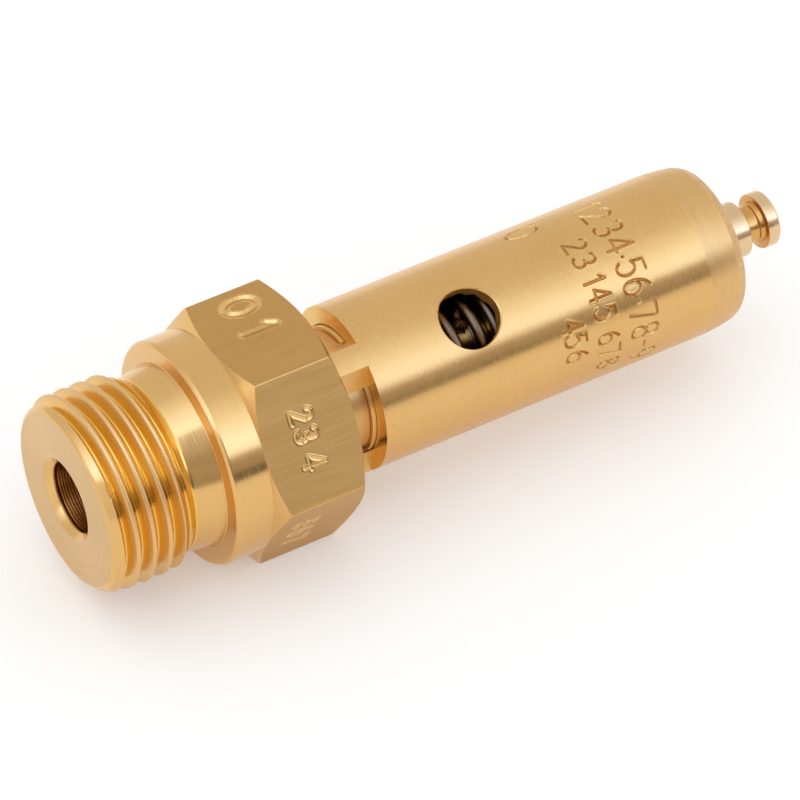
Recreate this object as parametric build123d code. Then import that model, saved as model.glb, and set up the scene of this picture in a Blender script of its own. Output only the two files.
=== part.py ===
from build123d import *
import math
import os

# Pressure relief valve, lying along +X. Millimetres, +Z up.
# Origin: centre of the inlet face, on the valve's axis. Turned profiles are (x, radius) points.
# Angles round the axis are counted from +Z towards -Y, which is a positive turn about +X.

# Inlet thread, G 1/2
threadMajorR = 20.955 / 2
threadPitch = 1.814
threadDepth = 0.640327 * threadPitch
threadHalfAngle = 27.5
threadCrestWidth = 0.1667 * threadPitch
threadEndX = 8.35
crestXAtTop = 0.35

# Inlet body
boreR = 3.75
boreChamfer = 0.75
facingR = 9.45
facingChamferX = 1.2
reliefR = 9.2
reliefX = 9.7
reliefWidth = 0.2
coneR = 9.9
shoulderX = 12.85
collarR = 12.03
collarChamfer = 0.3
hexAcrossFlats = 24.0
hexStartX = 16.95
hexEndX = 27.4
hexChamferAngle = 30.0
throatX = 18.5
seatBoreR = 3.0
seatX = 27.88
seatRimR = 3.55
nozzleR = 4.6
nozzleTipX = 27.0
chamberX = 21.5
threadedSocketR = 8.5

# Spring housing
barrelR = 8.84
barrelBoreR = 6.96
barrelEndX = 75.4
barrelEndR = 8.25
barrelTaperX = 70.9
barrelSpigotX = 21.7
windowWidth = 4.5
windowFlat = 5.5
windowAngles = (88.5, -31.5, -151.5)
sideHoleX = 44.2
sideHoleR = 3.25
sideHoleAngle = 32.2
capSeatX = 72.4
capSeatR = 7.3
lipX = 74.6
lipR = 6.6

# Lift disc and seal
discR = 6.45
discStartX = 26.9
discEndX = 31.6
discChamfer = 0.55
discMouthR = 5.25
pocketX = 28.0
pocketR = 4.45
sealFrontX = 27.9
sealBackX = 29.5
hubR = 3.9
hubEndX = 38.2
hubBoreR = 2.06
hubBoreX = 32.6
screwR = 1.25
screwHoleEndX = 31.4
washerR = 2.4
washerThickness = 0.5
screwHeadR = 2.1
screwHeadLength = 1.2
screwSlotWidth = 0.5
screwSlotDepth = 0.55
ballR = 1.2
pinR = 0.5
pinX = 36.8
pinLength = 6.5
pinOffset = 1.95

# Spring
wireR = 0.65
springMeanR = 5.55
springPitch = 2.9
springPhase = 68.0
springStartX = 33.0
springEndX = 49.4
lowerPlateR = 6.6

# Spindle and knob
spindleR = 2.0
spindleFootX = 35.02
spindleGrooveR = 1.4
spindleGrooveWidth = 1.2
studR = 1.5
studX = 71.4
studEndX = 78.3
ringX = 45.8
ringThickness = 0.8
ringR = 3.4
ringGrooveR = 1.6
knobR = 2.98
knobCollarEndX = 79.5
knobNeckR = 2.0
knobHeadX = 81.6
knobStepR = 2.45
knobStepX = 81.35
knobEndX = 83.1

# Upper end
plateBossX = 48.2
plateBossR = 4.55
plateR = 6.6
plateBoreR = 2.35
adjusterStartX = 50.9
adjusterEndX = 58.2
bushR = 3.2
bushBoreR = 2.06
bushFlangeR = 4.2
bushFlangeX = 57.3
bushEndX = 58.0
lockRingBoreR = 4.6
lockRingEndX = 60.8
spannerSlotWidth = 1.6
spannerSlotDepth = 1.2
capHoleR = 3.05


def turned(profile):
    """A solid turned about the valve's axis from (x, radius) points."""
    outline = Polyline([(x, 0, r) for x, r in profile], close=True)
    return revolve(make_face(outline), Axis.X)


def ring(startX, endX, innerR, outerR, chamfer=0.15):
    """A turned ring with its outer edges broken."""
    return turned([
        (startX, innerR),
        (startX, outerR - chamfer),
        (startX + chamfer, outerR),
        (endX - chamfer, outerR),
        (endX, outerR - chamfer),
        (endX, innerR),
    ])


def aroundAxis(angle, shape):
    """Turns a shape built on the +Z side to its angle round the axis."""
    return Rot(X=angle) * shape


def threadGroove():
    """The helical groove of the inlet thread, from in front of the face to behind the last crest."""
    turns = 6.5
    bottomWidth = threadCrestWidth
    overshoot = 0.15
    slope = math.tan(math.radians(threadHalfAngle))
    topWidth = bottomWidth + 2 * (threadDepth + overshoot) * slope
    rootR = threadMajorR - threadDepth
    outerR = threadMajorR + overshoot
    path = Helix(threadPitch, turns * threadPitch, rootR)
    profile = make_face(Polyline([
        (rootR, 0, -bottomWidth / 2),
        (rootR, 0, bottomWidth / 2),
        (outerR, 0, topWidth / 2),
        (outerR, 0, -topWidth / 2),
    ], close=True))
    groove = sweep(profile, path=path, is_frenet=True)
    startX = crestXAtTop - threadPitch
    return Pos(startX, 0, 0) * Rot(Y=90) * groove


def hexagon():
    """The hexagon bar with both ends turned to a chamfer."""
    length = hexEndX - hexStartX
    bar = extrude(Plane.YZ * RegularPolygon(hexAcrossFlats / 2, 6, major_radius=False), length)
    cornerR = hexAcrossFlats / math.sqrt(3) + 0.5
    chamferLength = (cornerR - collarR) * math.tan(math.radians(hexChamferAngle))
    envelope = turned([
        (0, 0),
        (0, collarR),
        (chamferLength, cornerR),
        (length - chamferLength, cornerR),
        (length, collarR),
        (length, 0),
    ])
    return Pos(hexStartX, 0, 0) * (bar & envelope)


def inletBody():
    core = turned([
        (0, 0),
        (0, facingR),
        (facingChamferX, threadMajorR),
        (threadEndX, threadMajorR),
        (reliefX, reliefR),
        (reliefX + reliefWidth, reliefR),
        (shoulderX, coneR),
        (shoulderX, collarR - collarChamfer),
        (shoulderX + collarChamfer, collarR),
        (hexStartX, collarR),
        (hexStartX, 0),
    ])
    body = core + hexagon()
    passage = turned([
        (-1, 0),
        (-1, boreR + boreChamfer + 1),
        (boreChamfer, boreR),
        (throatX, boreR),
        (throatX + boreR - seatBoreR, seatBoreR),
        (hexEndX + 2, seatBoreR),
        (hexEndX + 2, 0),
    ])
    nozzle = turned([
        (chamberX - 1, 0),
        (chamberX - 1, nozzleR),
        (nozzleTipX, nozzleR),
        (seatX, seatRimR),
        (seatX, 0),
    ])
    chamber = turned([
        (chamberX, 0),
        (chamberX, threadedSocketR),
        (hexEndX + 1, threadedSocketR),
        (hexEndX + 1, 0),
    ])
    return body - chamber + nozzle - passage - threadGroove()


def springHousing():
    taperLength = barrelEndX - barrelTaperX
    middleX = barrelTaperX + taperLength / 2
    middleR = barrelR - (barrelR - barrelEndR) / 4
    edgeBreak = 0.35
    endX = barrelEndX - edgeBreak
    outline = Curve() + [
        Polyline([
            (endX, 0, barrelEndR),
            (barrelEndX, 0, barrelEndR - edgeBreak),
            (barrelEndX, 0, lipR),
            (lipX, 0, lipR),
            (lipX, 0, capSeatR),
            (capSeatX, 0, capSeatR),
            (capSeatX, 0, barrelBoreR),
            (barrelSpigotX, 0, barrelBoreR),
            (barrelSpigotX, 0, threadedSocketR),
            (hexEndX, 0, threadedSocketR),
            (hexEndX, 0, barrelR),
            (barrelTaperX, 0, barrelR),
        ]),
        ThreePointArc((barrelTaperX, 0, barrelR), (middleX, 0, middleR), (endX, 0, barrelEndR)),
    ]
    housing = revolve(make_face(outline), Axis.X)
    cutter = Pos(hexEndX + windowWidth / 2, 0, windowFlat + 5) * Box(windowWidth, 20, 10)
    for angle in windowAngles:
        housing -= aroundAxis(angle, cutter)
    drill = Pos(sideHoleX, 0, barrelR) * Cylinder(sideHoleR, 8)
    return housing - aroundAxis(sideHoleAngle, drill)


def liftDisc():
    disc = turned([
        (discStartX, discMouthR),
        (discStartX, discR - 0.2),
        (discStartX + 0.2, discR),
        (discEndX - discChamfer, discR),
        (discEndX, discR - discChamfer),
        (discEndX, hubR),
        (hubEndX, hubR),
        (hubEndX, hubBoreR),
        (hubBoreX, hubBoreR),
        (hubBoreX, 0),
        (screwHoleEndX, 0),
        (screwHoleEndX, screwR),
        (sealBackX, screwR),
        (sealBackX, pocketR),
        (pocketX, pocketR),
        (pocketX, discMouthR),
    ])
    for side in (-1, 1):
        disc -= Pos(pinX, side * pinOffset, 0) * Cylinder(pinR, 2 * discR)
    return disc


def crossPins():
    return Compound([
        Pos(pinX, side * pinOffset, 0) * Cylinder(pinR, pinLength)
        for side in (-1, 1)
    ])


def sealScrew():
    headX = sealFrontX - washerThickness
    screw = turned([
        (headX - screwHeadLength, 0),
        (headX - screwHeadLength, screwHeadR - 0.25),
        (headX - screwHeadLength + 0.25, screwHeadR),
        (headX, screwHeadR),
        (headX, screwR),
        (screwHoleEndX - 0.2, screwR),
        (screwHoleEndX - 0.2, 0),
    ])
    slot = Pos(headX - screwHeadLength, 0, 0) * Box(2 * screwSlotDepth, 6, screwSlotWidth)
    return screw - slot


def lowerSpringPlate():
    return ring(discEndX + 0.02, springStartX, hubR + 0.05, lowerPlateR, 0.2)


def compressionSpring():
    """The coil as one helix, cut flat at both ends as ground spring ends are."""
    endRoom = wireR * 0.6
    length = springEndX - springStartX
    path = Helix(springPitch, length, springMeanR)
    start = Plane(origin=path @ 0, z_dir=path % 0)
    coil = sweep(start * Circle(wireR), path=path, is_frenet=True)
    trim = Cylinder(springMeanR + 2, length - 2 * endRoom, align=(Align.CENTER, Align.CENTER, Align.MIN))
    coil = coil & (Pos(0, 0, endRoom) * trim)
    return aroundAxis(springPhase, Pos(springStartX, 0, 0) * Rot(Y=90) * coil)


def upperSpringPlate():
    return turned([
        (plateBossX, plateBoreR),
        (plateBossX, plateBossR - 0.3),
        (plateBossX + 0.3, plateBossR),
        (springEndX, plateBossR),
        (springEndX, plateR - 0.15),
        (springEndX + 0.15, plateR),
        (adjusterStartX, plateR),
        (adjusterStartX, plateBoreR),
    ])


def spannerSlots(endX, outerR):
    """Two notches across a threaded ring's end face, for a pin spanner."""
    return Pos(endX, 0, 0) * Box(2 * spannerSlotDepth, spannerSlotWidth, 4 * outerR)


def adjustingScrew():
    screw = turned([
        (adjusterStartX, bushR),
        (adjusterStartX, barrelBoreR - 0.4),
        (adjusterStartX + 0.4, barrelBoreR),
        (adjusterEndX - 0.4, barrelBoreR),
        (adjusterEndX, barrelBoreR - 0.4),
        (adjusterEndX, bushFlangeR + 0.1),
        (bushFlangeX, bushFlangeR + 0.1),
        (bushFlangeX, bushR),
    ])
    return screw - spannerSlots(adjusterEndX, barrelBoreR)


def guideBush():
    return turned([
        (adjusterStartX + 0.2, bushBoreR),
        (adjusterStartX + 0.2, bushR - 0.15),
        (adjusterStartX + 0.35, bushR),
        (bushFlangeX, bushR),
        (bushFlangeX, bushFlangeR),
        (bushEndX, bushFlangeR),
        (bushEndX, bushBoreR),
    ])


def lockRing():
    body = ring(adjusterEndX, lockRingEndX, lockRingBoreR, barrelBoreR, 0.3)
    return body - spannerSlots(lockRingEndX, barrelBoreR)


def endCap():
    return turned([
        (capSeatX, capHoleR),
        (capSeatX, capSeatR - 0.2),
        (capSeatX + 0.2, capSeatR),
        (lipX, capSeatR),
        (lipX, capHoleR + 0.2),
        (lipX - 0.2, capHoleR),
    ])


def spindle():
    grooveStartX = pinX - spindleGrooveWidth / 2
    grooveEndX = pinX + spindleGrooveWidth / 2
    ringEndX = ringX + ringThickness
    return turned([
        (spindleFootX, 0),
        (spindleFootX, spindleR - 0.3),
        (spindleFootX + 0.3, spindleR),
        (grooveStartX, spindleR),
        (grooveStartX, spindleGrooveR),
        (grooveEndX, spindleGrooveR),
        (grooveEndX, spindleR),
        (ringX, spindleR),
        (ringX, ringGrooveR),
        (ringEndX, ringGrooveR),
        (ringEndX, spindleR),
        (studX, spindleR),
        (studX, studR),
        (studEndX - 0.3, studR),
        (studEndX, studR - 0.3),
        (studEndX, 0),
    ])


def spindleRing():
    """A retaining ring with an opening, so it can be pushed into the spindle's groove."""
    body = ring(ringX, ringX + ringThickness, ringGrooveR, ringR, 0.1)
    opening = Pos(ringX, 0, ringR / 2) * Box(4, 2.2, ringR + 1)
    return body - opening


def pullKnob():
    return turned([
        (studX, studR),
        (studX, knobR - 0.3),
        (studX + 0.3, knobR),
        (knobCollarEndX - 0.15, knobR),
        (knobCollarEndX, knobR - 0.15),
        (knobCollarEndX, knobNeckR),
        (knobStepX, knobNeckR),
        (knobStepX, knobStepR),
        (knobHeadX, knobStepR),
        (knobHeadX, knobR - 0.1),
        (knobHeadX + 0.1, knobR),
        (knobEndX - 0.2, knobR),
        (knobEndX, knobR - 0.2),
        (knobEndX, 0),
        (studEndX + 0.2, 0),
        (studEndX + 0.2, studR),
    ])


ballX = hubBoreX + ballR

nodes = {
    "inlet_body": inletBody(),
    "spring_housing": springHousing(),
    "lift_disc": liftDisc(),
    "seat_seal": ring(sealFrontX, sealBackX, screwR, pocketR - 0.05, 0.1),
    "seal_washer": ring(sealFrontX - washerThickness, sealFrontX, screwR, washerR, 0.1),
    "seal_screw": sealScrew(),
    "thrust_ball": Pos(ballX, 0, 0) * Sphere(ballR),
    "cross_pins": crossPins(),
    "lower_spring_plate": lowerSpringPlate(),
    "compression_spring": compressionSpring(),
    "upper_spring_plate": upperSpringPlate(),
    "adjusting_screw": adjustingScrew(),
    "guide_bush": guideBush(),
    "lock_ring": lockRing(),
    "end_cap": endCap(),
    "spindle": spindle(),
    "spindle_ring": spindleRing(),
    "pull_knob": pullKnob(),
}

os.makedirs("parts", exist_ok=True)
for name, shape in nodes.items():
    export_step(shape, f"parts/{name}.step")
    print(name, round(shape.volume, 1))
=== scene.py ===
import math

import bmesh
import bpy
from mathutils import Matrix, Quaternion, Vector


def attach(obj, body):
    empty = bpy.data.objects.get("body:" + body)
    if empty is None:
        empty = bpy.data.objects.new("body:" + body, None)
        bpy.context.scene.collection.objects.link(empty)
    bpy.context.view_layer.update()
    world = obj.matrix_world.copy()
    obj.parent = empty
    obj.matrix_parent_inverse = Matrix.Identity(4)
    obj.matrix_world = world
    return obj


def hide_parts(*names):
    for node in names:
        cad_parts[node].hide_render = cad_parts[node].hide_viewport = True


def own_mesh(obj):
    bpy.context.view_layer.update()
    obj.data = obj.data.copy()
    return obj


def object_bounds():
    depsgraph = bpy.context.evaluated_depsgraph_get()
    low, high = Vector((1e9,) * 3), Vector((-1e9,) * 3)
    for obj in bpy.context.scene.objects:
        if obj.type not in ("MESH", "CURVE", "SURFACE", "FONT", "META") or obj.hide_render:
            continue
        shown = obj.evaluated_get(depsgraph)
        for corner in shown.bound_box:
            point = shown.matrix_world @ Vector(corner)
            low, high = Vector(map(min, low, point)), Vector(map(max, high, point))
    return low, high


# Looks of a turned brass pressure relief valve. Sizes in the piece settings are millimetres,
# angles are degrees round the valve's axis, from straight up towards the camera's side.

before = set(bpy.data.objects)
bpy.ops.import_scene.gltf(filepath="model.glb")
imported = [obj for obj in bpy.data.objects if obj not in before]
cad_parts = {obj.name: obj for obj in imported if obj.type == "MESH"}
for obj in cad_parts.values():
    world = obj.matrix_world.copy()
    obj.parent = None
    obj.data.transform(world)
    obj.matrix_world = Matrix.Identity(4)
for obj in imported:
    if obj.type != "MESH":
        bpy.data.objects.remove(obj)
cadLow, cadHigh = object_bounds()
scene = bpy.context.scene
mm = 0.001
fullTurn = 2 * math.pi
axis = Vector((1, 0, 0))
origin = Vector((0, 0, 0))
floorHeight = cadLow.z
cutReach = 1e-8  # metres within which a vertex counts as on a cut
print("frame loaded")


cameraSettings = {
    "azimuth": -30.4816,
    "elevation": 41.847,
    "roll": 0.704,
    "distance": 0.66721,
    "aim": (0.03725473, -0.00238079, -0.00229096),
    "lens": 296.264,
    "clip": (0.02, 20),
}


def makeCamera(s):
    azimuth, elevation = math.radians(s["azimuth"]), math.radians(s["elevation"])
    back = Vector((
        math.sin(azimuth) * math.cos(elevation),
        -math.cos(azimuth) * math.cos(elevation),
        math.sin(elevation),
    ))
    data = bpy.data.cameras.new("camera")
    camera = bpy.data.objects.new("camera", data)
    scene.collection.objects.link(camera)
    camera.rotation_mode = "QUATERNION"
    camera.location = Vector(s["aim"]) + back * s["distance"]
    level = (-back).to_track_quat("-Z", "Y")
    camera.rotation_quaternion = level @ Quaternion((0, 0, 1), -math.radians(s["roll"]))
    data.lens = s["lens"]
    data.clip_start, data.clip_end = s["clip"]
    scene.camera = camera


makeCamera(cameraSettings)
scene.view_settings.view_transform = "Standard"


def newMaterial(name):
    material = bpy.data.materials.new(name)
    material.use_nodes = True
    material.node_tree.nodes.clear()
    output = material.node_tree.nodes.new("ShaderNodeOutputMaterial")
    return material, material.node_tree, output


def setSocket(tree, socket, value):
    if isinstance(value, bpy.types.NodeSocket):
        tree.links.new(value, socket)
    else:
        socket.default_value = value


def mathNode(tree, operation, *values):
    node = tree.nodes.new("ShaderNodeMath")
    node.operation = operation
    for socket, value in zip(node.inputs, values):
        setSocket(tree, socket, value)
    return node.outputs[0]


def rangeNode(tree, value, start=0.0, end=1.0, low=0.0, high=1.0):
    node = tree.nodes.new("ShaderNodeMapRange")
    for label, limit in (("From Min", start), ("From Max", end), ("To Min", low), ("To Max", high)):
        setSocket(tree, node.inputs[label], limit)
    tree.links.new(value, node.inputs["Value"])
    return node.outputs[0]


def seenRays(tree):
    # 1 for camera, glossy and transmission rays, 0 for the rest
    path = tree.nodes.new("ShaderNodeLightPath")
    seen = mathNode(tree, "MAXIMUM", path.outputs["Is Camera Ray"], path.outputs["Is Glossy Ray"])
    return mathNode(tree, "MAXIMUM", seen, path.outputs["Is Transmission Ray"])


stageSettings = {
    "worldStrength": 0.95,
    "floorSize": 6.0,
    "floorColour": (0.88, 0.88, 0.88),
    "floorLift": 0.23,
}


def makeStage(s):
    world = bpy.data.worlds.new("studio")
    scene.world = world
    world.use_nodes = True
    tree = world.node_tree
    background = tree.nodes["Background"]
    background.inputs["Color"].default_value = (1, 1, 1, 1)
    strength = rangeNode(tree, seenRays(tree), low=s["worldStrength"])
    tree.links.new(strength, background.inputs["Strength"])

    bm = bmesh.new()
    bmesh.ops.create_grid(bm, x_segments=1, y_segments=1, size=s["floorSize"] / 2)
    bmesh.ops.translate(bm, verts=bm.verts, vec=(0, 0, floorHeight))
    mesh = bpy.data.meshes.new("floor")
    bm.to_mesh(mesh)
    bm.free()
    floor = bpy.data.objects.new("floor", mesh)
    scene.collection.objects.link(floor)
    material, tree, output = newMaterial("floor paper")
    paper = tree.nodes.new("ShaderNodeBsdfDiffuse")
    paper.inputs["Color"].default_value = (*s["floorColour"], 1)
    lift = tree.nodes.new("ShaderNodeEmission")
    tree.links.new(mathNode(tree, "MULTIPLY", seenRays(tree), s["floorLift"]), lift.inputs["Strength"])
    both = tree.nodes.new("ShaderNodeAddShader")
    tree.links.new(paper.outputs[0], both.inputs[0])
    tree.links.new(lift.outputs[0], both.inputs[1])
    tree.links.new(both.outputs[0], output.inputs["Surface"])
    mesh.materials.append(material)


makeStage(stageSettings)

# A curved tent round the valve is seen only in its reflections. Edges are (x, angle) points,
# with angles round the valve's axis from straight up towards the camera's side.
softEdge = (
    (-2.6, 18), (-0.8, 38), (-0.3, 46), (-0.13, 24.5), (-0.02, 25.5), (0.09, 55),
    (0.375, 67), (0.75, 67), (0.9, 64),
)
gapEdge = (
    (-0.75, 68), (-0.25, 68), (-0.12, 90), (0.0, 91), (0.06, 68), (0.22, 70), (0.32, 82), (0.46, 82),
    (0.58, 86), (0.72, 86), (0.84, 75),
)
horizon = ((0.0, 91.5),)
# A glow is a row of (share of the way from one edge to the other, colour).
tentSettings = [
    {
        "name": "softbox", "from": softEdge, "to": ((-0.69, -195), (0.375, -103)), "ends": (-2.6, 1.1),
        "glow": [
            (0.0, (1.55, 1.90, 2.70)), (0.04, (1.66, 2.08, 3.00)), (0.085, (1.58, 1.93, 2.85)),
            (0.153, (1.36, 1.63, 2.15)), (0.224, (1.19, 1.32, 1.50)), (0.294, (0.99, 1.05, 1.10)),
            (0.365, (0.86, 0.87, 0.88)), (0.447, (0.84, 0.84, 0.84)), (1.0, (0.85, 0.85, 0.85)),
        ],
    },
    {
        "name": "shade_below_softbox", "from": softEdge, "to": gapEdge, "ends": (-0.75, 1.1),
        "glow": [
            (0.0, (0.64, 0.61, 0.59)), (0.35, (0.58, 0.55, 0.53)), (0.55, (0.46, 0.43, 0.41)),
            (0.75, (0.60, 0.57, 0.55)), (1.0, (0.58, 0.55, 0.54)),
        ],
    },
    {
        "name": "dark_gap", "from": gapEdge, "to": horizon, "ends": (-0.75, 1.1),
        "glow": [(0.0, (0.20, 0.19, 0.19)), (1.0, (0.10, 0.10, 0.10))],
    },
    {
        "name": "far_card", "from": ((0.0, -62),), "to": ((0.0, -112),), "ends": (-4.3, -2.7),
        "glow": [(0.0, (1.6, 1.65, 1.75)), (1.0, (1.6, 1.65, 1.75))],
    },
]
tentRadius = 0.9
tentFull = 3.0  # strength that the ramp's colours are shares of


def tentAngle(edge, x):
    for (startX, start), (endX, end) in zip(edge, edge[1:]):
        if x <= endX:
            return start + (end - start) * max(x - startX, 0) / (endX - startX)
    return edge[-1][1]


def makeTent(s):
    bm = bmesh.new()
    bm.loops.layers.uv.new("UVMap")
    bmesh.ops.create_grid(bm, x_segments=96, y_segments=48, size=0.5, calc_uvs=True)
    for vert in bm.verts:
        x = s["ends"][0] + (s["ends"][1] - s["ends"][0]) * (vert.co.x + 0.5)
        start, end = tentAngle(s["from"], x), tentAngle(s["to"], x)
        angle = math.radians(start + (end - start) * (vert.co.y + 0.5))
        vert.co = (x, -math.sin(angle) * tentRadius, math.cos(angle) * tentRadius)
    mesh = bpy.data.meshes.new(s["name"])
    bm.to_mesh(mesh)
    bm.free()
    tent = bpy.data.objects.new(s["name"], mesh)
    scene.collection.objects.link(tent)
    material, tree, output = newMaterial(s["name"])
    place = tree.nodes.new("ShaderNodeUVMap")
    split = tree.nodes.new("ShaderNodeSeparateXYZ")
    tree.links.new(place.outputs[0], split.inputs[0])
    ramp = tree.nodes.new("ShaderNodeValToRGB")
    stops = ramp.color_ramp.elements
    for stop, (share, colour) in zip(stops, (s["glow"][0], s["glow"][-1])):
        stop.position, stop.color = share, (*(value / tentFull for value in colour), 1)
    for share, colour in s["glow"][1:-1]:
        stops.new(share).color = (*(value / tentFull for value in colour), 1)
    tree.links.new(split.outputs[1], ramp.inputs[0])
    glow = tree.nodes.new("ShaderNodeEmission")
    glow.inputs["Strength"].default_value = tentFull
    tree.links.new(ramp.outputs[0], glow.inputs["Color"])
    tree.links.new(glow.outputs[0], output.inputs["Surface"])
    mesh.materials.append(material)
    tent.visible_camera = False
    tent.visible_diffuse = False
    tent.visible_shadow = False


for settings in tentSettings:
    makeTent(settings)
print("camera, floor and light ready")


def newGroup(name, inputs, outputs):
    # A tuple is a colour's start value, a number is a plain value's
    tree = bpy.data.node_groups.new(name, "ShaderNodeTree")
    for label, value in inputs.items():
        kind = "NodeSocketColor" if isinstance(value, tuple) else "NodeSocketFloat"
        tree.interface.new_socket(label, in_out="INPUT", socket_type=kind).default_value = value
    for label in outputs:
        kind = "NodeSocketColor" if label == "Color" else "NodeSocketFloat"
        tree.interface.new_socket(label, in_out="OUTPUT", socket_type=kind)
    return tree, tree.nodes.new("NodeGroupInput").outputs, tree.nodes.new("NodeGroupOutput").inputs


def groupNode(tree, group, values):
    node = tree.nodes.new("ShaderNodeGroup")
    node.node_tree = group
    for label, value in values.items():
        setSocket(tree, node.inputs[label], value)
    return node.outputs


def mixNode(tree, share, first, second, blend="MIX"):
    node = tree.nodes.new("ShaderNodeMix")
    node.data_type = "RGBA"
    node.blend_type = blend
    for socket, value in ((node.inputs["Factor"], share), (node.inputs[6], first), (node.inputs[7], second)):
        setSocket(tree, socket, value)
    return node.outputs[2]


def bumpNode(tree, height, depth, under=None):
    bump = tree.nodes.new("ShaderNodeBump")
    bump.inputs["Distance"].default_value = depth * mm
    tree.links.new(height, bump.inputs["Height"])
    if under is not None:
        tree.links.new(under, bump.inputs["Normal"])
    return bump.outputs[0]


def splitPlace(tree):
    # Place on the piece itself, as x, y and z
    place = tree.nodes.new("ShaderNodeTexCoord")
    split = tree.nodes.new("ShaderNodeSeparateXYZ")
    tree.links.new(place.outputs["Object"], split.inputs[0])
    return split.outputs


def axisDistance(tree, y, z):
    squares = (mathNode(tree, "MULTIPLY", value, value) for value in (y, z))
    return mathNode(tree, "SQRT", mathNode(tree, "ADD", *squares))


def markNoise(tree, given, result, place, roughness):
    # The noise that both kinds of tool marks are made of; place is its x, y and z
    join = tree.nodes.new("ShaderNodeCombineXYZ")
    for socket, value in zip(join.inputs, place):
        tree.links.new(value, socket)
    noise = tree.nodes.new("ShaderNodeTexNoise")
    noise.inputs["Scale"].default_value = 1.0
    noise.inputs["Roughness"].default_value = roughness
    tree.links.new(given["Detail"], noise.inputs["Detail"])
    tree.links.new(join.outputs[0], noise.inputs["Vector"])
    tree.links.new(noise.outputs[0], result["Height"])
    tree.links.new(rangeNode(tree, noise.outputs[0], 0.3, 0.7), result["Tone"])
    return noise


def makeLatheMarks():
    # Rings left by a turning tool: they change along the axis and outwards, hardly round it
    tree, given, result = newGroup(
        "latheMarks", {"Spacing": 9000.0, "Broken": 3.0, "Detail": 3.0}, ("Height", "Tone"),
    )
    x, y, z = splitPlace(tree)
    radius = axisDistance(tree, y, z)
    safe = mathNode(tree, "MAXIMUM", radius, 0.0001)
    turnY, turnZ = (
        mathNode(tree, "MULTIPLY", mathNode(tree, "DIVIDE", value, safe), given["Broken"]) for value in (y, z)
    )
    rings = [mathNode(tree, "MULTIPLY", value, given["Spacing"]) for value in (x, radius)]
    noise = markNoise(tree, given, result, (*rings, turnY), 0.6)
    noise.noise_dimensions = "4D"
    tree.links.new(turnZ, noise.inputs["W"])
    return tree


def makeDrawnGrain():
    # Lines along the bar, as drawing through a die leaves them on the flats
    tree, given, result = newGroup(
        "drawnGrain", {"Across": 6000.0, "Along": 60.0, "Detail": 4.0}, ("Height", "Tone"),
    )
    rates = (given["Along"], given["Across"], given["Across"])
    place = [mathNode(tree, "MULTIPLY", value, rate) for value, rate in zip(splitPlace(tree), rates)]
    markNoise(tree, given, result, place, 0.62)
    return tree


def makeCastTone():
    # Slow cloudy change of colour in handled brass
    tree, given, result = newGroup(
        "castTone",
        {"Clean": (0.8, 0.6, 0.3, 1), "Aged": (0.6, 0.4, 0.2, 1), "Scale": 120.0, "Amount": 0.3},
        ("Color", "Mask"),
    )
    place = tree.nodes.new("ShaderNodeTexCoord")
    noise = tree.nodes.new("ShaderNodeTexNoise")
    noise.inputs["Detail"].default_value = 5.0
    tree.links.new(place.outputs["Object"], noise.inputs["Vector"])
    tree.links.new(given["Scale"], noise.inputs["Scale"])
    mask = rangeNode(tree, noise.outputs[0], 0.35, 0.75)
    share = mathNode(tree, "MULTIPLY", mask, given["Amount"])
    tree.links.new(mixNode(tree, share, given["Clean"], given["Aged"]), result["Color"])
    tree.links.new(mask, result["Mask"])
    return tree


def makePaintedGrooveShade():
    # Painted shade: a deeper colour towards the bottom of a turned groove, standing in for light bounced
    # between its flanks
    tree, given, result = newGroup(
        "rootTone",
        {"Crest": (0.8, 0.6, 0.3, 1), "Root": (0.6, 0.4, 0.2, 1), "Low": 0.009, "High": 0.01},
        ("Color", "Mask"),
    )
    x, y, z = splitPlace(tree)
    height = rangeNode(tree, axisDistance(tree, y, z), given["Low"], given["High"])
    tree.links.new(mixNode(tree, height, given["Root"], given["Crest"]), result["Color"])
    tree.links.new(height, result["Mask"])
    return tree


rootTone = makePaintedGrooveShade()
latheMarks = makeLatheMarks()
drawnGrain = makeDrawnGrain()
castTone = makeCastTone()


def turnedMarks(spacing, broken, detail=3.0):
    # Rings to the metre, and how soon they change on the way round
    return latheMarks, {"Spacing": spacing, "Broken": broken, "Detail": detail}


def drawnMarks(across, along, detail=3.0):
    # Lines to the metre across them, and how soon they change on the way along
    return drawnGrain, {"Across": across, "Along": along, "Detail": detail}


def newSurface(name, s):
    # A new material with its shader and the cloudy tone that colours it
    material, tree, output = newMaterial(name)
    shader = tree.nodes.new("ShaderNodeBsdfPrincipled")
    tree.links.new(shader.outputs[0], output.inputs["Surface"])
    tone = groupNode(tree, castTone, {
        "Clean": (*s["clean"], 1), "Aged": (*s["aged"], 1),
        "Scale": s.get("toneScale", 150.0), "Amount": s.get("toneAmount", 0.35),
    })
    return material, tree, shader.inputs, tone


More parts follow.
